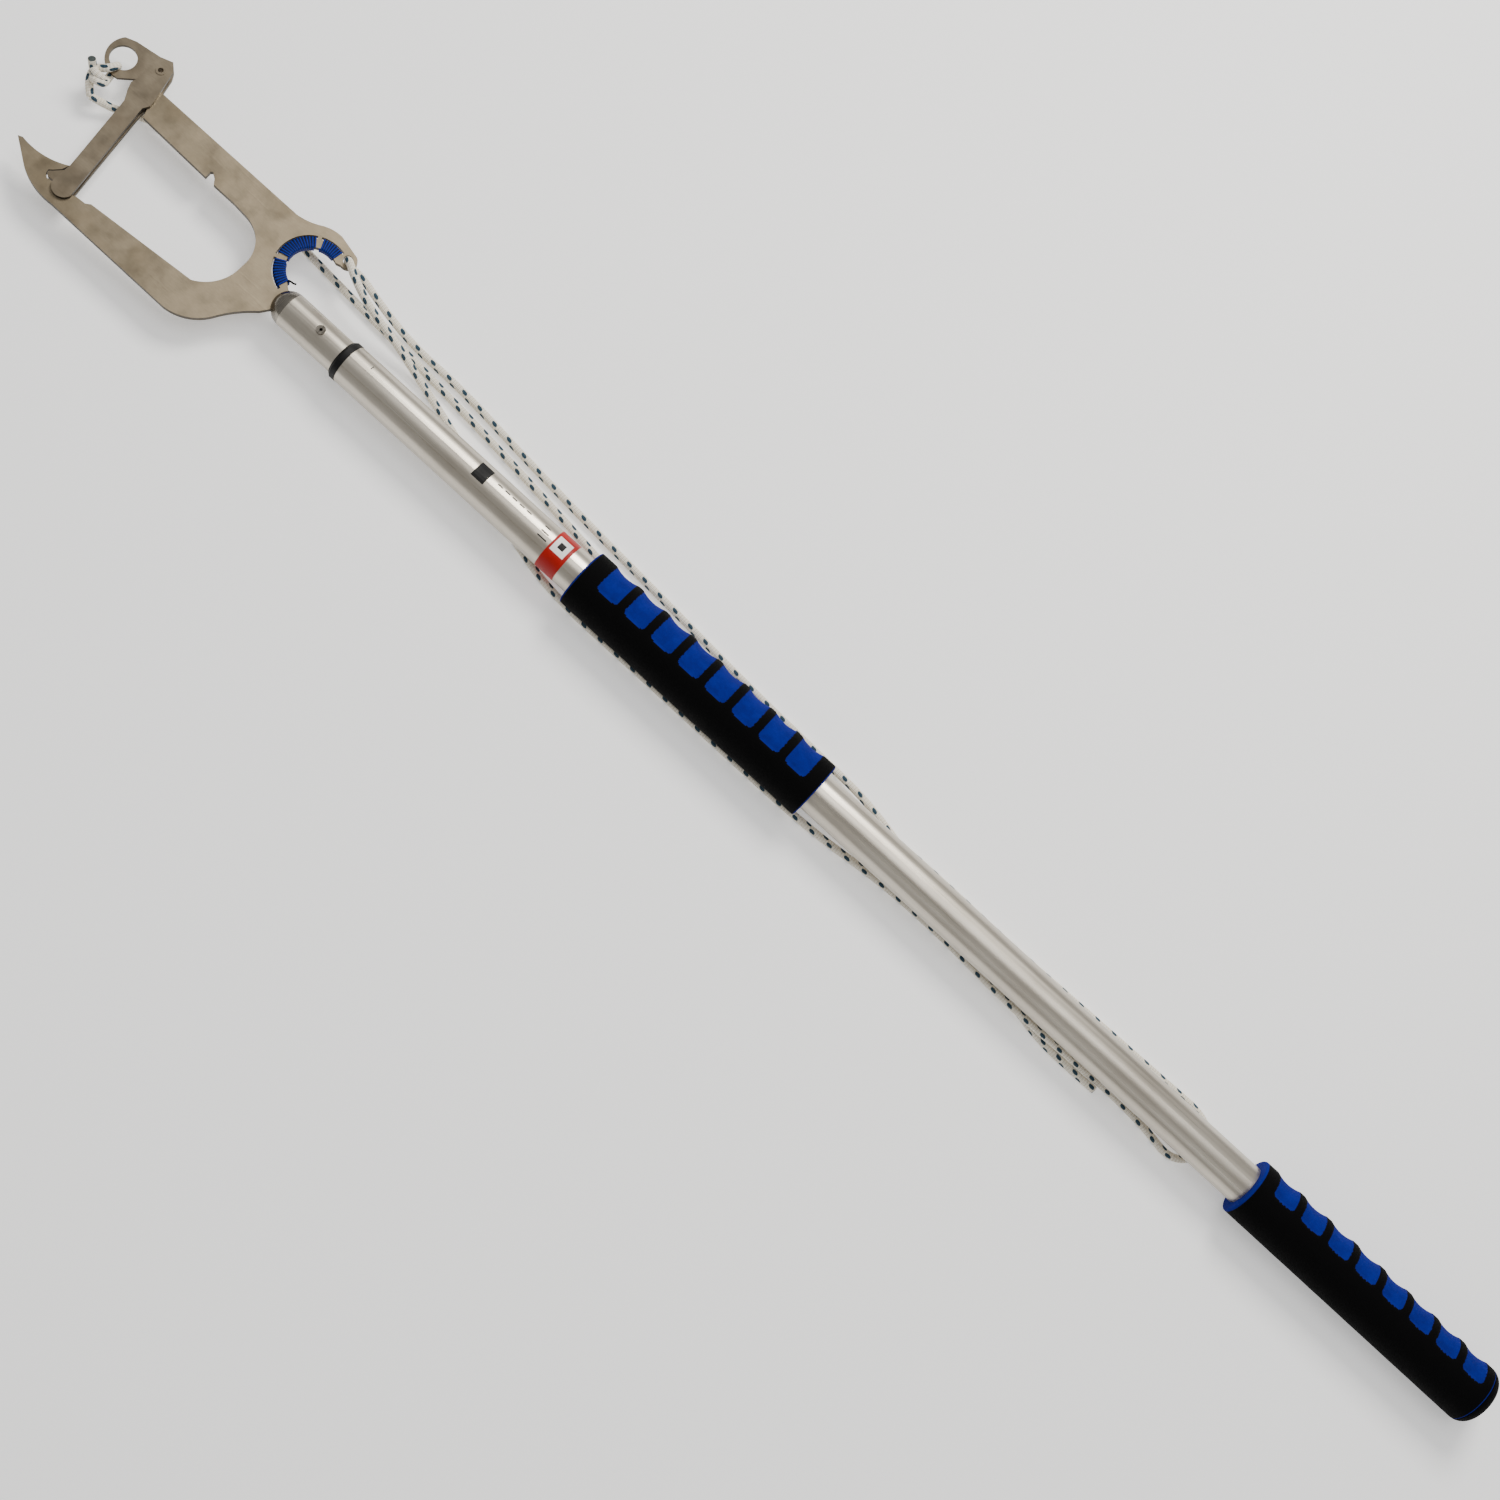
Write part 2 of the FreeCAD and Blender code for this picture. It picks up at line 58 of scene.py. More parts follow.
# AXIS is a point on the pole's axis, where the routes below start from. OUTER_X0 is the outer
# tube's front end from there, in millimetres.
TUBE_LO, TUBE_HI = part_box("outer_tube")
OUTER_X0 = -411.7
AXIS = Vector((TUBE_LO.x - OUTER_X0 * MM, (TUBE_LO.y + TUBE_HI.y) / 2, (TUBE_LO.z + TUBE_HI.z) / 2))
TUBE_R = (TUBE_HI.z - TUBE_LO.z) / 2
HEAD_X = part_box("inner_tube")[0].x

# Camera: over the pole, leaning to its -Y side, with the pole's head up to the left
AIM = AXIS + Vector((-9.6, -10.2, 0)) * MM
CAMERA_DISTANCE = 1.5875
CAMERA_LEAN = math.radians(18)
CAMERA_ROLL = math.radians(42.5)
LENS_MM = 52.8


def at_axis(x, y, z):
    """A point given in millimetres about the pole's axis, in the row frame."""
    return AXIS + Vector((x, y, z)) * MM


# ---------------------------------------------------------------- node helpers


class Nodes:
    """Short calls for building one material's node tree."""

    def __init__(self, name, base, roughness, metallic=0.0):
        self.mat = bpy.data.materials.new(name)
        self.mat.use_nodes = True
        self.tree = self.mat.node_tree
        self.shader = self.tree.nodes["Principled BSDF"]
        self.set("Base Color", (*base, 1))
        self.set("Roughness", roughness)
        self.set("Metallic", metallic)

    def set(self, socket, value):
        self.shader.inputs[socket].default_value = value

    def add(self, kind, **inputs):
        node = self.tree.nodes.new(kind)
        for key, value in inputs.items():
            self.put(node.inputs[key.replace("_", " ")], value)
        return node

    def put(self, socket, value):
        if isinstance(value, bpy.types.NodeSocket):
            self.tree.links.new(value, socket)
        else:
            socket.default_value = value

    def math(self, op, a, b=0.0):
        node = self.tree.nodes.new("ShaderNodeMath")
        node.operation = op
        self.put(node.inputs[0], a)
        self.put(node.inputs[1], b)
        return node.outputs[0]

    def coords(self, scale=(1, 1, 1), kind="Object"):
        source = self.tree.nodes.new("ShaderNodeTexCoord")
        mapping = self.tree.nodes.new("ShaderNodeMapping")
        mapping.inputs["Scale"].default_value = scale
        self.tree.links.new(source.outputs[kind], mapping.inputs["Vector"])
        return mapping.outputs["Vector"]

    def noise(self, scale, detail=3.0, stretch=(1, 1, 1), rough=0.5):
        node = self.add("ShaderNodeTexNoise", Scale=scale, Detail=detail, Roughness=rough)
        self.put(node.inputs["Vector"], self.coords(stretch))
        return node.outputs["Fac"]

    def ramp(self, fac, stops):
        node = self.tree.nodes.new("ShaderNodeValToRGB")
        ramp = node.color_ramp
        while len(ramp.elements) < len(stops):
            ramp.elements.new(0.5)
        for element, (place, colour) in zip(ramp.elements, stops):
            element.position = place
            element.color = (*colour, 1)
        self.tree.links.new(fac, node.inputs["Fac"])
        return node.outputs["Color"]

    def span(self, fac, low, high, lo_at=0.3, hi_at=0.7):
        """fac between lo_at and hi_at, spread from low to high."""
        node = self.add("ShaderNodeMapRange")
        self.put(node.inputs["Value"], fac)
        self.put(node.inputs["From Min"], lo_at)
        self.put(node.inputs["From Max"], hi_at)
        self.put(node.inputs["To Min"], low)
        self.put(node.inputs["To Max"], high)
        return node.outputs["Result"]

    def mix(self, fac, a, b):
        node = self.tree.nodes.new("ShaderNodeMix")
        node.data_type = "RGBA"
        self.put(node.inputs["Factor"], fac)
        self.put(node.inputs["A"], a if isinstance(a, bpy.types.NodeSocket) else (*a, 1))
        self.put(node.inputs["B"], b if isinstance(b, bpy.types.NodeSocket) else (*b, 1))
        return node.outputs["Result"]

    def link(self, value, socket):
        self.tree.links.new(value, self.shader.inputs[socket])

    def bump(self, height, strength, distance):
        node = self.add("ShaderNodeBump", Height=height, Strength=strength, Distance=distance)
        previous = self.shader.inputs["Normal"].links
        if previous:
            self.tree.links.new(previous[0].from_socket, node.inputs["Normal"])
        self.link(node.outputs["Normal"], "Normal")


# ---------------------------------------------------------------- materials


def steel(name, base, dark):
    """Rolled stainless plate: fine random grain, soft blotches and a few faint scratches."""
    m = Nodes(name, base, 0.4, 0.9)
    blotch = m.noise(26, 4, rough=0.6)
    light = tuple(c * 1.16 for c in base)
    colour = m.ramp(blotch, [(0.32, dark), (0.5, base), (0.7, light)])
    grain = m.noise(900, 2, stretch=(0.25, 1, 1))
    m.link(m.mix(m.span(grain, 0.0, 0.35), colour, dark), "Base Color")
    m.link(m.span(m.noise(70, 4), 0.34, 0.52), "Roughness")
    scratch = m.noise(300, 1, stretch=(0.06, 1, 1))
    m.bump(grain, 0.10, 0.0002)
    m.bump(m.span(scratch, 0.0, 1.0, 0.66, 0.72), 0.12, 0.0002)
    return m.mat


def anodised():
    """Satin drawn aluminium with fine lines along the pole and faint handling marks."""
    base = (0.54, 0.495, 0.42)
    m = Nodes("anodised_tube", base, 0.4, 0.9)
    lines = m.noise(420, 2, stretch=(0.012, 1, 1))
    marks = m.noise(30, 5, stretch=(0.5, 1, 1), rough=0.65)
    shades = [(0.3, (0.47, 0.425, 0.355)), (0.55, base), (0.75, (0.58, 0.535, 0.46))]
    m.link(m.ramp(marks, shades), "Base Color")
    m.link(m.span(lines, 0.27, 0.38), "Roughness")
    m.bump(lines, 0.14, 0.0002)
    return m.mat


def polished():
    """Bright turned metal, with faint rings round the pole."""
    m = Nodes("bright_metal", (0.3, 0.28, 0.24), 0.26, 1.0)
    turned = m.noise(500, 2, stretch=(1, 0.03, 0.03))
    m.link(m.span(turned, 0.16, 0.30), "Roughness")
    shades = [(0.3, (0.22, 0.20, 0.17)), (0.7, (0.34, 0.315, 0.275))]
    m.link(m.ramp(m.noise(90, 4), shades), "Base Color")
    m.bump(turned, 0.08, 0.0002)
    return m.mat


def plastic(name, base, roughness):
    """Matt plastic or printed tape with a fine grain."""
    m = Nodes(name, base, roughness)
    m.set("Specular IOR Level", 0.25)
    fine = m.noise(1600, 2)
    light = tuple(c * 1.4 + 0.0006 for c in base)
    m.link(m.span(m.noise(120, 3), roughness - 0.08, roughness + 0.1), "Roughness")
    m.link(m.ramp(m.noise(60, 3), [(0.3, base), (0.8, light)]), "Base Color")
    m.bump(fine, 0.12, 0.0002)
    return m.mat


def foam(name, base, light, lift):
    """Closed-cell foam: fine pores, soft mottling and dusty specks, as strong as lift."""
    m = Nodes(name, base, 0.86)
    m.set("Specular IOR Level", 0.07)
    pores = m.add("ShaderNodeTexVoronoi", Vector=m.coords(), Scale=1500.0).outputs["Distance"]
    mottle = m.noise(110, 5, rough=0.7)
    colour = m.ramp(mottle, [(0.35, base), (0.62, light)])
    speck = m.noise(1300, 2)
    dust = tuple(c * 1.8 + 0.003 for c in light)
    m.link(m.mix(m.span(speck, 0.0, lift, 0.55, 0.75), colour, dust), "Base Color")
    m.link(m.span(mottle, 0.78, 0.94), "Roughness")
    m.bump(pores, 0.45, 0.0004)
    m.bump(m.noise(420, 3), 0.25, 0.0005)
    return m.mat


STRANDS_PER_M = 5200.0


def winding_cord(name, low, high):
    """Twisted cord. U runs along the cord and V round it."""
    m = Nodes(name, high, 0.5)
    m.set("Specular IOR Level", 0.2)
    uv = m.add("ShaderNodeSeparateXYZ", Vector=m.coords(kind="UV"))
    along = m.math("MULTIPLY", uv.outputs[0], STRANDS_PER_M)
    around = m.math("MULTIPLY", uv.outputs[1], 4 * math.pi)
    twist = m.math("SINE", m.math("ADD", along, around))
    # The colour follows the bump: the low colour in the twist's grooves and the high one on the
    # strands, painted shade in the grooves
    m.link(m.ramp(m.span(twist, 0, 1, -1, 1), [(0.0, low), (0.6, high)]), "Base Color")
    m.link(m.span(m.noise(300, 2), 0.45, 0.6), "Roughness")
    m.bump(twist, 0.25, 0.0002)
    return m.mat


# The line's pattern: the pitch of its plait and of its flecks in metres, and a fleck's own
# step, turn and size as parts of the fleck pitch and of one turn
PLAIT_PITCH = 0.0042
PLAIT_STARTS = 8
FLECK_PITCH = 0.016
FLECK_STEP = 0.17
FLECK_TURN = 0.10
FLECK_HALF = (0.155, 0.08)
FLECK_SLANT = 0.5
FLECK_POWER = 2.6


def fleck_pair(m, along, around, shift, angle):
    """Two slanting flecks on one side of the line, repeated along it."""
    masks = []
    for step, turn in ((FLECK_STEP, FLECK_TURN), (-FLECK_STEP, -FLECK_TURN)):
        s = m.math("FRACT", m.math("ADD", along, shift - step + 0.5))
        s = m.math("SUBTRACT", s, 0.5)
        a = m.math("FRACT", m.math("ADD", around, 1.5 - angle - turn))
        a = m.math("SUBTRACT", a, 0.5)
        s = m.math("SUBTRACT", s, m.math("MULTIPLY", a, FLECK_SLANT))
        reach = []
        for place, half in zip((s, a), FLECK_HALF):
            part = m.math("ABSOLUTE", m.math("DIVIDE", place, half))
            reach.append(m.math("POWER", part, FLECK_POWER))
        masks.append(m.math("LESS_THAN", m.math("ADD", *reach), 1.0))
    return m.math("MAXIMUM", *masks)


def braid():
    """Braided polyester line. U is metres along it, V is one turn round it."""
    m = Nodes("rope_braid", (0.93, 0.87, 0.74), 0.8)
    uv = m.add("ShaderNodeSeparateXYZ", Vector=m.coords(kind="UV"))
    s = uv.outputs[0]
    v = uv.outputs[1]
    plait = m.math("MULTIPLY", s, 2 * math.pi / PLAIT_PITCH)
    turn = m.math("MULTIPLY", v, 2 * math.pi * PLAIT_STARTS)
    over = m.math("SINE", m.math("ADD", turn, plait))
    under = m.math("SINE", m.math("SUBTRACT", turn, plait))
    weave = m.math("MULTIPLY", over, under)
    # The colour follows the weave's bump: painted shade in the plait's hollows and painted light on
    # the strands' tops
    shades = [(0.0, (0.66, 0.58, 0.44)), (0.5, (0.93, 0.87, 0.74)), (1.0, (0.97, 0.93, 0.83))]
    base = m.ramp(m.span(weave, 0, 1, -1, 1), shades)
    dirt = m.noise(45, 4, rough=0.6)
    base = m.mix(m.span(dirt, 0.0, 0.3, 0.5, 0.8), base, (0.66, 0.56, 0.40))
    along = m.math("DIVIDE", s, FLECK_PITCH)
    flecks = fleck_pair(m, along, v, 0.0, 0.0)
    flecks = m.math("MAXIMUM", flecks, fleck_pair(m, along, v, 0.5, 0.5))
    m.link(m.mix(flecks, base, (0.010, 0.045, 0.075)), "Base Color")
    m.link(m.span(weave, 0.66, 0.8, -1, 1), "Roughness")
    m.bump(weave, 0.7, 0.0004)
    return m.mat


def cut_end():
    """Dark, melted polyester."""
    m = Nodes("line_cut_end", (0.03, 0.045, 0.045), 0.6)
    shades = [(0.3, (0.008, 0.014, 0.016)), (0.7, (0.07, 0.09, 0.085))]
    m.link(m.ramp(m.noise(900, 3), shades), "Base Color")
    m.bump(m.noise(1200, 3), 0.6, 0.0006)
    return m.mat


def floor_material():
    """Plain pale floor with a little light of its own."""
    m = Nodes("floor", (0.9, 0.9, 0.9), 0.8)
    m.set("Specular IOR Level", 0.1)
    m.set("Emission Color", (1, 1, 1, 1))
    m.set("Emission Strength", 0.4)
    return m.mat


STEEL = steel("stainless", (0.335, 0.275, 0.190), (0.255, 0.205, 0.135))
GATE_STEEL = steel("stainless_dark", (0.265, 0.220, 0.158), (0.195, 0.158, 0.110))
# Cut edges: darker cut steel, and partly painted shade for the dark gaps between the plates
CUT_EDGE_AND_SHADE = steel("cut_edge_and_shade", (0.085, 0.070, 0.050), (0.045, 0.037, 0.027))
TUBE = anodised()
BRIGHT = polished()
BLACK = plastic("black_plastic", (0.0012, 0.0012, 0.0012), 0.55)
RED = plastic("red_tape", (0.30, 0.004, 0.003), 0.45)
WHITE = plastic("white_label", (0.75, 0.74, 0.72), 0.45)
GREY = plastic("label_grey", (0.02, 0.019, 0.018), 0.5)
BLACK_FOAM = foam("black_foam", (0.0008, 0.0008, 0.0009), (0.0018, 0.0018, 0.002), 0.1)
BLUE_FOAM = foam("blue_foam", (0.004, 0.008, 0.15), (0.006, 0.013, 0.20), 0.03)
WINDING = winding_cord("winding_cord", (0.0004, 0.008, 0.13), (0.0008, 0.02, 0.27))
# A near-black copy of the cord's colours: painted shade between the winding's turns
WINDING_SHADE = winding_cord("winding_painted_shade", (0.0002, 0.0008, 0.008), (0.0003, 0.0015, 0.015))
ROPE = braid()
CUT_END = cut_end()

NODE_MATERIALS = {
    "stainless": STEEL,
    "stainless_dark": GATE_STEEL,
    "anodised_tube": TUBE,
    "bright_metal": BRIGHT,
    "black_plastic": BLACK,
    "red_tape": RED,
    "black_foam": BLACK_FOAM,
    "blue_foam": BLUE_FOAM,
    "blue_cord": WINDING,
    "rope": ROPE,
}

CUT_PLATES = ("head_plate", "gate_front_plate", "gate_back_plate")


def paint_cad_nodes():
    """Each node's material by its slot; the plates' cut edges are darker than their faces, partly as
    darker cut steel and partly as painted shade for the shadowed gaps between the plates.
    """
    for part in frame["record"]["subparts"]:
        mesh = frame["nodes"][part["node"]].data
        mesh.materials.clear()
        mesh.materials.append(NODE_MATERIALS[part["material_slot"]])
        if part["node"] in CUT_PLATES:
            mesh.materials.append(CUT_EDGE_AND_SHADE)
            for face in mesh.polygons:
                face.material_index = 1 if abs(face.normal.z) < 0.5 else 0


# ---------------------------------------------------------------- mesh helpers


def new_piece(name, verts, faces, material, body=None, uvs=None, smooth=True):
    mesh = bpy.data.meshes.new(name)
    mesh.from_pydata([tuple(v) for v in verts], [], faces)
    if uvs:
        layer = mesh.uv_layers.new(name="UVMap")
        for polygon in mesh.polygons:
            for corner, uv in zip(polygon.loop_indices, uvs[polygon.index]):
                layer.data[corner].uv = uv
    mesh.materials.append(material)
    if smooth:
        mesh.shade_smooth()
    obj = bpy.data.objects.new(name, mesh)
    bpy.context.scene.collection.objects.link(obj)
    if body:
        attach(obj, body)
    return obj


def ring_faces(rings, sides):
    """Quads that join each ring of points to the next. Every ring has the same number of sides."""
    faces = []
    for i in range(rings - 1):
        for j in range(sides):
            k = (j + 1) % sides
            faces.append((i * sides + j, i * sides + k, (i + 1) * sides + k, (i + 1) * sides + j))
    return faces


def spline_points(name, points, per_run=24):
    """Points read from the smooth NURBS line through a cord's route."""
    curve = bpy.data.curves.new(name, "CURVE")
    curve.dimensions = "3D"
    spline = curve.splines.new("NURBS")
    spline.points.add(len(points) - 1)
    for control, p in zip(spline.points, points):
        control.co = (*p, 1)
    spline.order_u = 3
    spline.use_endpoint_u = True
    spline.resolution_u = per_run
    holder = bpy.data.objects.new(name, curve)
    bpy.context.scene.collection.objects.link(holder)
    bpy.context.view_layer.update()
    mesh = bpy.data.meshes.new_from_object(holder)
    line = [v.co.copy() for v in mesh.vertices]
    bpy.data.objects.remove(holder)
    bpy.data.curves.remove(curve)
    bpy.data.meshes.remove(mesh)
    return line


def evenly(line, step):
    """The same line with points a fixed step apart."""
    points = [line[0]]
    left = step
    for a, b in zip(line, line[1:]):
        run = (b - a).length
        along = left
        while along <= run:
            points.append(a.lerp(b, along / run))
            along += step
        left = along - run
    if (points[-1] - line[-1]).length > step * 0.3:
        points.append(line[-1])
    return points


def frames_along(line):
    """For each point: the point and two normals, carried along with no twist."""
    normal = None
    out = []
    for i, p in enumerate(line):
        tangent = (line[min(i + 1, len(line) - 1)] - line[max(i - 1, 0)]).normalized()
        if normal is None:
            up = Vector((0, 0, 1)) if abs(tangent.z) < 0.9 else Vector((1, 0, 0))
            normal = tangent.cross(up).cross(tangent).normalized()
        normal = (normal - tangent * normal.dot(tangent)).normalized()
        out.append((p, normal, tangent.cross(normal)))
    return out


def tube_mesh(name, line, radius, sides, material, wobble=0.0):
    """A closed tube along line, with U in metres along it and V round it. wobble varies its radius."""
    verts = []
    uvs = []
    along = [0.0]
    for a, b in zip(line, line[1:]):
        along.append(along[-1] + (b - a).length)
    for i, (p, n, c) in enumerate(frames_along(line)):
        swell = radius * (1 + wobble * math.sin(along[i] * 310) * math.sin(along[i] * 97))
        for j in range(sides):
            a = 2 * math.pi * j / sides
            verts.append(p + n * (swell * math.cos(a)) + c * (swell * math.sin(a)))
    faces = ring_faces(len(line), sides)
    for i in range(len(line) - 1):
        for j in range(sides):
            v0 = j / sides
            v1 = (j + 1) / sides
            uvs.append(((along[i], v0), (along[i], v1), (along[i + 1], v1), (along[i + 1], v0)))
    last = (len(line) - 1) * sides
    faces.append(tuple(reversed(range(sides))))
    faces.append(tuple(range(last, last + sides)))
    for u in (along[0], along[-1]):
        uvs.append([(u, 0.5)] * sides)
    return new_piece(name, verts, faces, material, uvs=uvs)


# ---------------------------------------------------------------- control line

# Routes are in millimetres about the pole's axis. FLOOR is the middle of a line that lies on the
# floor, and EYE_X is the middle of the eye in the hook plate's horn.
FLOOR = -20.4
ROPE_R = 3 * MM
ROPE_SIDES = 20
EYE_X = (HEAD_X - AXIS.x) / MM + 2.2
LEAD_ROUTE = [
    (-686.5, 20.5, -8.0),
    (-672.0, 26.5, -15.0),
    (-655.0, 40.0, FLOOR),
    (-632.0, 50.0, FLOOR),
    (-606.0, 52.6, FLOOR),
    (-580.0, 52.9, FLOOR),
]
LINE_ROUTE = [
    (-580.0, 52.9, FLOOR),
    (-530.0, 51.2, FLOOR),
    (-454.0, 46.1, FLOOR),
    (-378.0, 42.2, FLOOR),
    (-300.0, 36.8, FLOOR),
    (-222.0, 29.8, FLOOR),
    (-160.0, 23.0, FLOOR),
    (-85.0, 19.8, FLOOR),
    (0.0, 20.4, FLOOR),
    (80.0, 20.0, FLOOR),
    (155.0, 21.6, FLOOR),
    (235.0, 20.6, FLOOR),
    (310.0, 22.4, FLOOR),
    (378.0, 23.6, FLOOR),
    (424.0, 24.9, FLOOR),
    (435.4, 1.9, FLOOR),
    (419.4, -18.4, FLOOR),
    (388.0, -12.4, FLOOR),
    (352.0, -10.6, FLOOR),
    (308.0, -14.2, -13.6),
    (262.0, -15.6, -13.4),
    (222.0, -12.6, -18.0),
    (186.0, -9.6, FLOOR),
    (126.0, -10.2, FLOOR),
    (60.0, -18.2, FLOOR),
    (-30.0, -18.2, FLOOR),
    (-110.0, -17.9, FLOOR),
    (-190.0, -18.4, FLOOR),
    (-240.0, -8.0, FLOOR),
    (-290.0, 10.0, FLOOR),
    (-332.0, 23.5, FLOOR),
    (-372.0, 34.0, -19.4),
    (-402.0, 39.6, -8.5),
    (-430.0, 42.0, 0.5),
    (-452.5, 49.0, 6.3),
    (EYE_X, 57.9, 6.3),
    (EYE_X, 57.9, -6.3),
    (-454.5, 58.8, -6.3),
    (-430.0, 54.4, -12.5),
    (-395.0, 50.8, -19.8),
    (-345.0, 51.4, FLOOR),
    (-278.0, 45.4, FLOOR),
    (-200.0, 40.2, FLOOR),
    (-120.0, 36.2, FLOOR),
    (-45.0, 31.6, FLOOR),
    (36.0, 29.4, FLOOR),
    (78.0, 26.0, -13.6),
    (124.0, 16.6, -13.6),
    (170.0, 6.5, FLOOR),
    (226.0, -4.0, FLOOR),
    (262.0, -12.6, FLOOR),
    (290.0, -17.8, FLOOR),
    (318.0, -18.3, FLOOR),
    (343.0, -17.6, FLOOR),
]


def rope(name, route, step, wobble):
    """One run of the line along its route, with rings a step apart."""
    line = evenly(spline_points(name + "_route", [at_axis(*p) for p in route]), step)
    return tube_mesh(name, line, ROPE_R, ROPE_SIDES, ROPE, wobble), line


def make_line():
    """The line from the hook plate round the pole, through the horn's eye and back to its cut end."""
    piece, line = rope("control_line", LINE_ROUTE, 1.2 * MM, 0.012)
    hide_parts("rope_front", "rope_rear")
    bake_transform(piece)
    end = end_cap("line_cut_end", line, "handle")


def make_lead():
    """The short run from the knot down to the floor."""
    piece, line = rope("control_line_lead", LEAD_ROUTE, 1.2 * MM, 0.012)
    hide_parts("rope_lead")
    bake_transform(piece)


def end_cap(name, line, body):
    """The dark, heat-sealed end of a line: a slightly ragged, domed disc."""
    rings = 5
    dome = 0.5 * MM
    rough = 0.12
    verts = []
    place = line[-1]
    turn = (place - line[-2]).normalized().to_track_quat("Z", "Y").to_matrix()
    for i in range(rings):
        r = ROPE_R * 0.97 * (1 - i / rings)
        for j in range(ROPE_SIDES):
            a = 2 * math.pi * j / ROPE_SIDES
            lift = dome * math.sqrt(i / rings) + random.uniform(-rough, rough) * MM
            verts.append(place + turn @ Vector((r * math.cos(a), r * math.sin(a), lift)))
    verts.append(place + turn @ Vector((0, 0, 0.8 * dome)))
    faces = ring_faces(rings, ROPE_SIDES)
    inner = (rings - 1) * ROPE_SIDES
    for j in range(ROPE_SIDES):
        faces.append((inner + j, inner + (j + 1) % ROPE_SIDES, inner + ROPE_SIDES))
    return new_piece(name, verts, faces, CUT_END, body)


KNOT_ROUTE = [
    (-686.5, 20.5, -8.0),
    (-693.0, 25.5, -6.5),
    (-698.0, 32.0, -4.5),
    (-696.5, 38.5, -1.5),
    (-690.5, 41.0, 1.5),
    (-687.5, 46.5, 1.6),
    (-688.5, 51.5, -3.4),
    (-690.0, 46.0, -8.8),
    (-688.0, 38.5, -8.6),
    (-685.5, 33.0, -4.0),
    (-687.5, 29.5, 1.0),
    (-693.5, 29.5, -2.5),
    (-697.0, 34.0, -10.0),
    (-691.5, 39.0, -11.0),
    (-686.5, 36.0, -6.0),
    (-689.5, 33.0, 2.6),
    (-695.0, 33.5, 0.5),
    (-699.0, 36.0, 1.6),
    (-700.0, 37.0, 7.5),
]


def make_knot():
    """A small tight knot round the lower rim of the gate's eye, with its dark cut end forward."""
    knot, line = rope("line_knot", KNOT_ROUTE, 0.8 * MM, 0.02)
    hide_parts("rope_knot")
    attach(knot, "gate")
    end_cap("knot_cut_end", line, "gate")


# ---------------------------------------------------------------- grips

FINGER_COUNT = 8
FINGER_HALF = 11.0 * MM
FINGER_DEPTH = 2.0 * MM
FINGER_REACH = math.radians(78)
FINGER_FADE = math.radians(12)
SKIN = 0.5 * MM
GRIP_LIP = 1.3 * MM
GRIP_EDGE = 1.5 * MM
GRIP_STEPS = 520
GRIP_SIDES = 180
# Per grip: the first hollow's place, the pitch, and the middle of the hollows round the grip
GRIPS = {
    "upper_grip": (25.0 * MM, 25.95 * MM, math.radians(57)),
    "lower_grip": (22.5 * MM, 26.05 * MM, math.radians(76)),
}


def smooth_step(t):
    t = max(0.0, min(1.0, t))
    return t * t * (3 - 2 * t)


def finger_depth(x, angle, grip):
    """How deep the hollows are at that place on the grip."""
    first, pitch, centre = grip
    n = max(0, min(FINGER_COUNT - 1, round((x - first) / pitch)))
    off = abs(x - first - n * pitch) / FINGER_HALF
    if off >= 1:
        return 0.0
    away = abs((angle - centre + math.pi) % (2 * math.pi) - math.pi)
    return FINGER_DEPTH * (1 - off * off) * smooth_step((FINGER_REACH - away) / FINGER_FADE)


def grip_rows(length, outer):
    """Places along a grip with the radius there: its ends rounded off, and closed on the tube."""
    bore = TUBE_R + 0.02 * MM
    rows = [(0.0, bore)]
    for i in range(GRIP_STEPS + 1):
        x = length * i / GRIP_STEPS
        short = max(0.0, GRIP_EDGE - min(x, length - x))
        round_off = GRIP_EDGE - math.sqrt(max(0.0, GRIP_EDGE**2 - short**2))
        rows.append((x, outer - round_off))
    rows.append((length, bore))
    return rows


def make_grip(prefix):
    """Blue foam with a thin black skin. Eight finger hollows go through the skin on one side."""
    lo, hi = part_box(prefix + "_core")
    cover_lo, cover_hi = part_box(prefix + "_cover")
    outer = max(hi.z - AXIS.z, cover_hi.y - AXIS.y, AXIS.z - cover_lo.z)
    length = hi.x - lo.x
    rows = grip_rows(length, outer - 0.05 * MM)
    verts = []
    depths = []
    for i, (x, r) in enumerate(rows):
        for j in range(GRIP_SIDES):
            a = 2 * math.pi * j / GRIP_SIDES
            depth = 0.0
            ripple = 0.0
            if 0 < i < len(rows) - 1:
                depth = finger_depth(x, a, GRIPS[prefix])
                ripple = 0.04 * MM * math.sin(x * 260 + 2 * math.sin(a * 3)) * math.sin(a * 5 + x * 90)
            here = r - depth + ripple
            verts.append((lo.x + x, AXIS.y + here * math.sin(a), AXIS.z + here * math.cos(a)))
            depths.append(depth)
    faces = ring_faces(len(rows), GRIP_SIDES)
    piece = new_piece(prefix + "_foam", verts, faces, BLACK_FOAM)
    piece.data.materials.append(BLUE_FOAM)
    for face, depth in zip(piece.data.polygons, depths):
        i, j = divmod(face.index, GRIP_SIDES)
        x = rows[i][0]
        a = 2 * math.pi * j / GRIP_SIDES
        ragged = 0.05 * MM * math.sin(x * 2100 + 9 * a) * math.sin(a * 41)
        if depth > SKIN + ragged or not GRIP_LIP < x < length - GRIP_LIP:
            face.material_index = 1
    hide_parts(prefix + "_core", prefix + "_cover")
    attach(piece, "handle")


# ---------------------------------------------------------------- cord windings

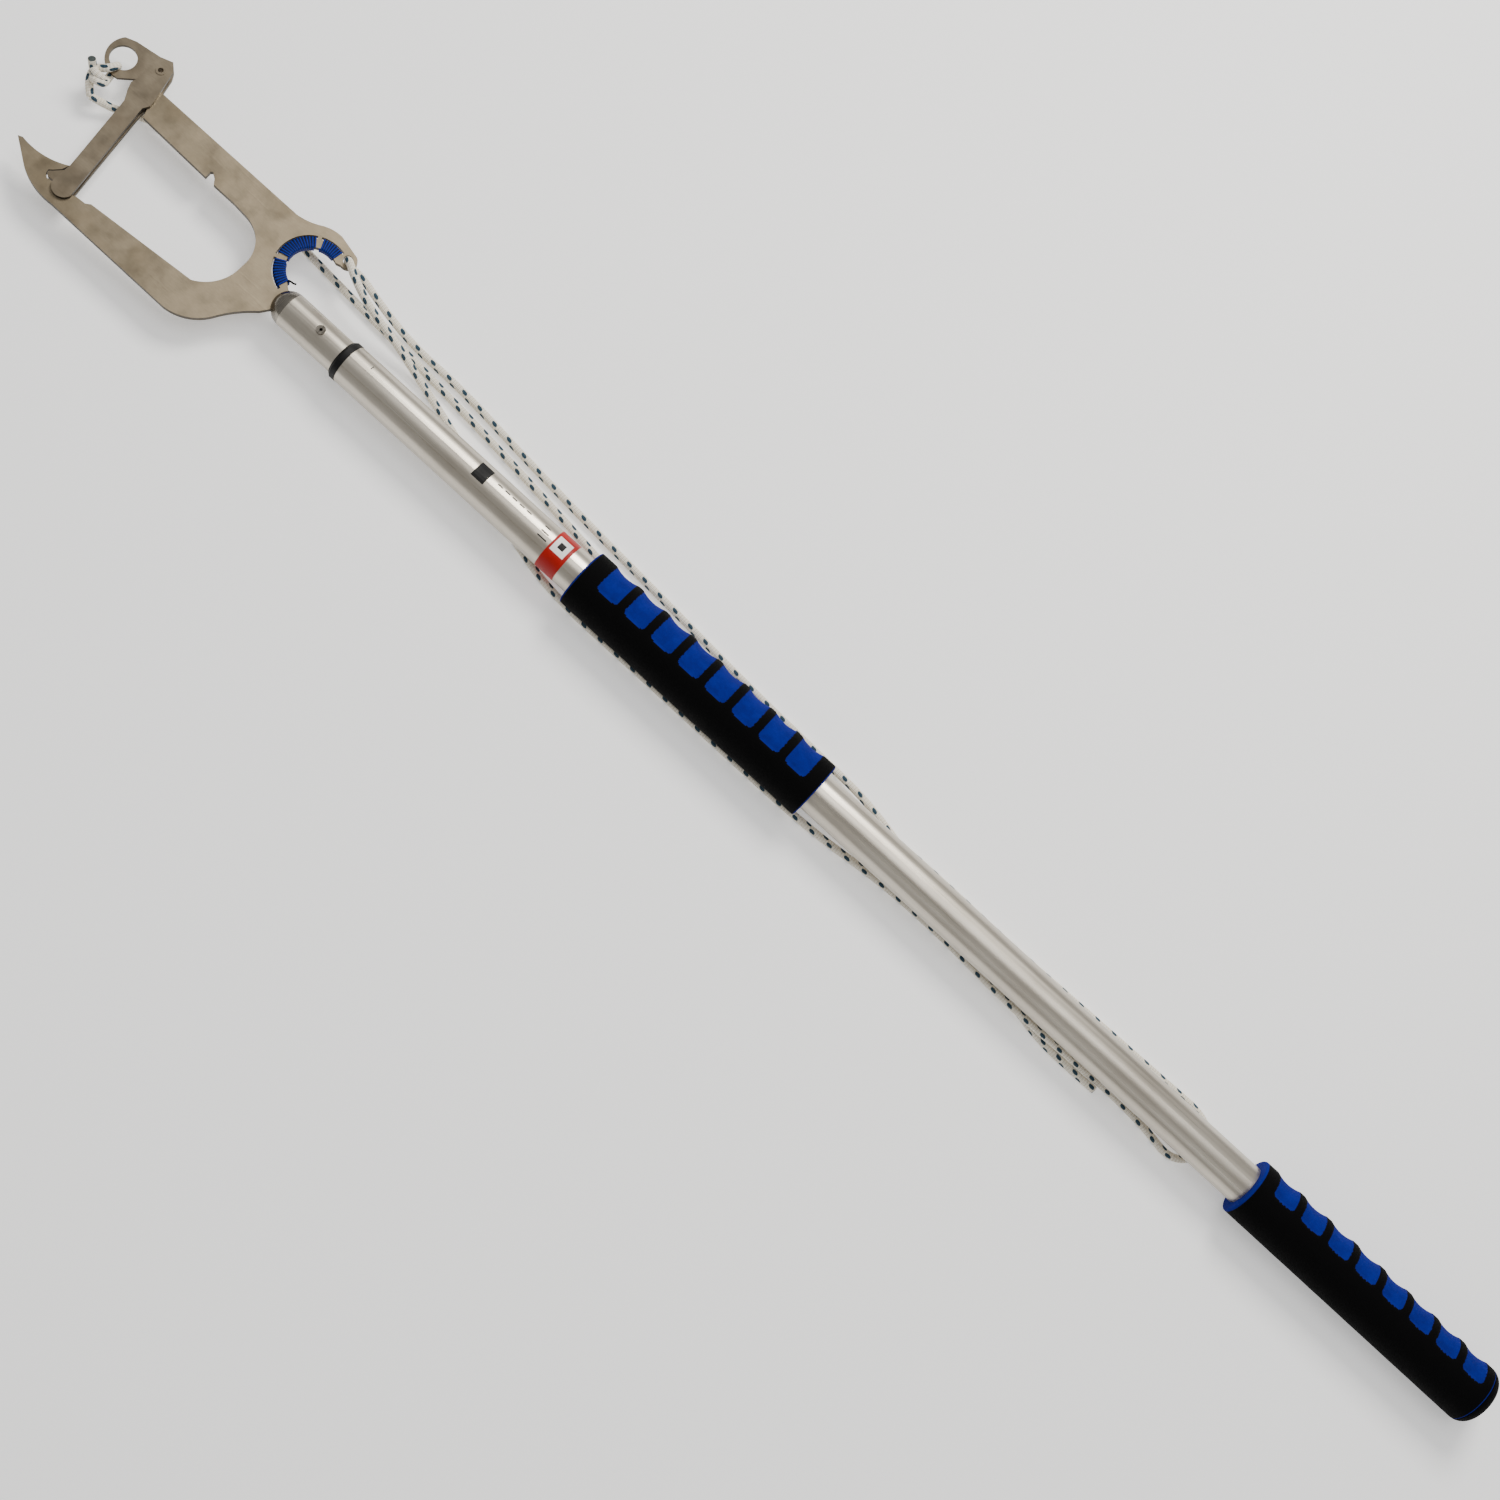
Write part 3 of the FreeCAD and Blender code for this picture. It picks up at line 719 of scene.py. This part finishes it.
# The middle of the hook plate's cut-out, and the web that the cord is wound round
CUTOUT = Vector((HEAD_X - 10.3 * MM, AXIS.y + 32.5 * MM, AXIS.z))
WEB_R = (19.1 * MM, 26.1 * MM)
WEB_HALF_T = 2.0 * MM
WEB_CORNER = 1.0 * MM
CORD_R = 0.68 * MM
UNDER_R = 0.5 * MM
TURN_STEPS = 44
# Per winding: its first and last angle round the cut-out in degrees, and its turns
WINDINGS = {
    "whipping_upper": (77.8, 115.2, 8),
    "whipping_middle": (124.8, 195.2, 14),
    "whipping_lower": (204.8, 255.2, 10),
}


def winding_section(t):
    """A point on the rounded rectangle that the cord follows round the web: (radius, height)."""
    r0 = WEB_R[0] - CORD_R
    r1 = WEB_R[1] + CORD_R
    h = WEB_HALF_T + CORD_R
    corners = [(r0, h), (r1, h), (r1, -h), (r0, -h)]
    sides = [r1 - r0, 2 * h, r1 - r0, 2 * h]
    d = (t % 1.0) * sum(sides)
    k = 0
    while d > sides[k]:
        d -= sides[k]
        k += 1
    a = corners[k]
    b = corners[(k + 1) % 4]
    f = d / sides[k]
    r = a[0] + (b[0] - a[0]) * f
    z = a[1] + (b[1] - a[1]) * f
    mid = (r0 + r1) / 2
    reach = (max(0, abs(r - mid) - ((r1 - r0) / 2 - WEB_CORNER)), max(0, abs(z) - (h - WEB_CORNER)))
    over = math.hypot(*reach)
    if over > WEB_CORNER:
        pull = (over - WEB_CORNER) / over
        r -= math.copysign(reach[0] * pull, r - mid)
        z -= math.copysign(reach[1] * pull, z)
    return r, z


def winding_line(a0, a1, turns):
    line = []
    for i in range(turns * TURN_STEPS + 1):
        t = i / TURN_STEPS
        r, z = winding_section(t)
        a = math.radians(a0 + (a1 - a0) * t / turns)
        line.append(CUTOUT + Vector((r * math.cos(a), r * math.sin(a), z)))
    return line


def make_winding(node, a0, a1, turns):
    """The cord's top layer, and under it a thinner, near-black cord that shows between its turns as
    painted shade.
    """
    cord = tube_mesh(node + "_cord", winding_line(a0, a1, turns), CORD_R, 10, WINDING)
    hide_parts(node)
    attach(cord, "head")
    half = (a1 - a0) / turns / 2
    line = winding_line(a0 + half, a1 - half, turns - 1)
    under = tube_mesh(node + "_under", line, UNDER_R, 8, WINDING_SHADE)
    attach(under, "head")


def make_cord_tail():
    """The short loose end of the winding cord, beside the pole's dome."""
    start = CUTOUT + Vector((-5.5, -17.5, 2.8)) * MM
    route = ((0, 0, 0), (2.2, 0.6, 0.8), (4.6, 0.2, 1.4), (6.4, 1.4, 1.6))
    points = [start + Vector(p) * MM for p in route]
    line = evenly(spline_points("cord_tail_route", points), 0.5 * MM)
    tail = tube_mesh("cord_tail", line, 0.7 * MM, 10, BLACK)
    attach(tail, "head")


# ---------------------------------------------------------------- labels


def patch(name, x0, x1, a0, a1, material, lift=0.06, rows=6):
    """A thin curved label on the outer tube, between two angles from straight up towards +Y."""
    inner = TUBE_R + 0.01 * MM
    outer = TUBE_R + lift * MM
    verts = []
    faces = []
    for r in (inner, outer):
        for x in (AXIS.x + x0 * MM, AXIS.x + x1 * MM):
            for j in range(rows + 1):
                a = math.radians(a0 + (a1 - a0) * j / rows)
                verts.append((x, AXIS.y + r * math.sin(a), AXIS.z + r * math.cos(a)))
    n = rows + 1
    for j in range(rows):
        faces.append((j, j + 1, n + j + 1, n + j))
        faces.append((2 * n + j, 3 * n + j, 3 * n + j + 1, 2 * n + j + 1))
        faces.append((j, 2 * n + j, 2 * n + j + 1, j + 1))
        faces.append((n + j, n + j + 1, 3 * n + j + 1, 3 * n + j))
    faces.append((0, n, 3 * n, 2 * n))
    faces.append((rows, 2 * n + rows, 3 * n + rows, n + rows))
    return new_piece(name, verts, faces, material, "handle", smooth=False)


def make_labels():
    """Plain marks: a block, bars, dashes, a white square with a spot, and a tick by the collar."""
    patch("label_block", -290.7, -279.2, -15, 38, BLACK)
    for n in range(5):
        x = -271.5 + 7.0 * n
        patch("label_bar_%d" % n, x, x + 4.5, 14, 18, GREY, lift=0.04, rows=3)
    for n in range(3):
        a = -14 + 16 * n
        patch("label_dash_%d" % n, -226.5, -218.0 - 1.6 * n, a, a + 4, GREY, lift=0.04, rows=3)
    patch("label_white", -213.2, -200.8, -19, 30, WHITE, lift=0.22)
    patch("label_spot", -209.6, -204.4, -4, 15, BLACK, lift=0.27)
    patch("collar_mark", -394.8, -394.0, 12, 24, GREY, lift=0.04, rows=3)


# ---------------------------------------------------------------- studio


FLOOR_HALF = 30
WORLD_COLOUR = (0.95, 0.94, 0.92, 1)
WORLD_STRENGTH = 0.36
# Name, place, size, power and colour
LIGHTS = (
    ("key", (-0.3, 1.5, 1.9), 0.9, 56, (1.0, 0.98, 0.94)),
    ("top", (0.2, 0.3, 2.9), 1.6, 26, (1.0, 1.0, 1.0)),
    ("fill", (0.9, -2.1, 1.6), 1.4, 4, (0.97, 0.985, 1.0)),
)


def make_floor():
    mesh = bpy.data.meshes.new("floor")
    size = FLOOR_HALF
    corners = [(-size, -size, 0), (size, -size, 0), (size, size, 0), (-size, size, 0)]
    mesh.from_pydata(corners, [], [(0, 1, 2, 3)])
    mesh.materials.append(floor_material())
    floor = bpy.data.objects.new("floor", mesh)
    bpy.context.scene.collection.objects.link(floor)


def make_lights():
    for name, place, size, power, colour in LIGHTS:
        light = bpy.data.lights.new(name, "AREA")
        light.shape = "SQUARE"
        light.size = size
        light.energy = power
        light.color = colour
        lamp = bpy.data.objects.new(name, light)
        lamp.location = place
        lamp.rotation_euler = (AIM - Vector(place)).to_track_quat("-Z", "Y").to_euler()
        bpy.context.scene.collection.objects.link(lamp)
    world = bpy.data.worlds.new("studio")
    world.use_nodes = True
    world.node_tree.nodes["Background"].inputs["Color"].default_value = WORLD_COLOUR
    world.node_tree.nodes["Background"].inputs["Strength"].default_value = WORLD_STRENGTH
    bpy.context.scene.world = world


def make_camera():
    """Look down at AIM, leaning back towards -Y and rolled about the line of sight."""
    data = bpy.data.cameras.new("camera")
    data.lens = LENS_MM
    data.sensor_width = 36.0
    data.clip_end = 50
    camera = bpy.data.objects.new("camera", data)
    back = Vector((0, -math.sin(CAMERA_LEAN), math.cos(CAMERA_LEAN)))
    level_right = Vector((1, 0, 0))
    level_up = back.cross(level_right)
    right = level_right * math.cos(CAMERA_ROLL) + level_up * math.sin(CAMERA_ROLL)
    up = level_up * math.cos(CAMERA_ROLL) - level_right * math.sin(CAMERA_ROLL)
    turn = Matrix((right, up, back)).transposed().to_4x4()
    camera.matrix_world = Matrix.Translation(AIM + back * CAMERA_DISTANCE) @ turn
    bpy.context.scene.collection.objects.link(camera)
    bpy.context.scene.camera = camera


make_camera()
make_floor()
make_lights()
paint_cad_nodes()
make_line()
make_lead()
make_knot()
for grip_name in GRIPS:
    make_grip(grip_name)
for winding_name, (first, last, turn_count) in WINDINGS.items():
    make_winding(winding_name, first, last, turn_count)
make_cord_tail()
make_labels()
